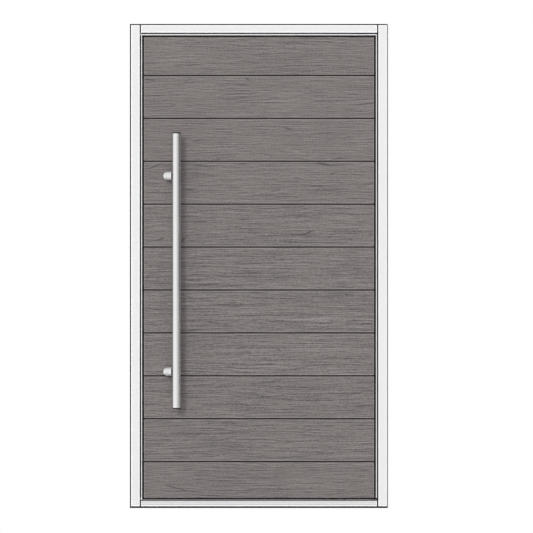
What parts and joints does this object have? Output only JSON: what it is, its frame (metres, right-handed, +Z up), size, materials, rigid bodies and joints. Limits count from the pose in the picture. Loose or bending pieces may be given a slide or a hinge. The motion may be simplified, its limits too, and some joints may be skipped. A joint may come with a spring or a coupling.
{
  "type": "pivot entry door",
  "caption": "Entry door with a horizontally boarded leaf turning on floor and head pivots in an aluminium frame, and long tubular pull handles on both faces.",
  "frame": {"origin": "middle of the doorway, on the underside of the sill bedding", "axes": "+X across the doorway towards the pivot side, +Y through the wall into the house, +Z up"},
  "size_m": [1.2, 0.272, 2.25],
  "materials": {
    "frame_coat": "white powder coat, satin",
    "sill_coat": "white powder coat, satin, slightly scuffed",
    "tread": "anodised tread, ribbed",
    "trim_coat": "pale powder coat, satin",
    "boards": "grey weathered stain over fine horizontal grain, matt",
    "core": "insulated core with black faces",
    "rail": "black anodised",
    "handle_steel": "satin stainless steel, brushed round the tube",
    "hardware_steel": "satin stainless steel",
    "roller": "black nylon",
    "gasket": "black rubber",
    "brush": "black pile",
    "tape": "dark expanding foam tape",
    "bedding": "dark bedding strip"
  },
  "bodies": {
    "frame": {"jamb_left": "frame_coat", "jamb_right": "frame_coat", "head": "frame_coat", "threshold": "sill_coat", "threshold_tread": "tread", "head_end_gasket_left": "gasket", "head_end_gasket_right": "gasket", "sill_end_gasket_left": "gasket", "sill_end_gasket_right": "gasket", "wall_tape_left": "tape", "wall_tape_right": "tape", "wall_tape_top": "tape", "sill_bedding": "bedding", "jamb_brush": "brush", "head_brush": "brush", "heel_stop": "frame_coat", "head_stop": "frame_coat", "stop_gasket": "gasket", "strike_plate": "hardware_steel", "floor_pivot": "hardware_steel", "top_pivot": "hardware_steel"},
    "leaf": {"leaf_core": "core", "outer_facing": "boards", "inner_facing": "boards", "edge_trim_lock": "trim_coat", "edge_trim_heel": "trim_coat", "edge_trim_top": "trim_coat", "bottom_rail": "rail", "bottom_sweep": "brush", "leaf_edge_brush": "brush", "pivot_shoe": "hardware_steel", "pivot_bush": "hardware_steel", "catch_case": "hardware_steel", "catch_roller": "roller", "outer_handle_bar": "handle_steel", "outer_handle_cap_upper": "handle_steel", "outer_handle_post_upper": "handle_steel", "outer_handle_cap_lower": "handle_steel", "outer_handle_post_lower": "handle_steel", "inner_handle_bar": "handle_steel", "inner_handle_cap_upper": "handle_steel", "inner_handle_post_upper": "handle_steel", "inner_handle_cap_lower": "handle_steel", "inner_handle_post_lower": "handle_steel"}
  },
  "joints": [
    {"name": "leaf_pivot", "type": "hinge", "parent": "frame", "child": "leaf", "pos_m": [0.348, 0, 0], "axis": [0, 0, -1], "range_deg": [0, 90]}
  ]
}
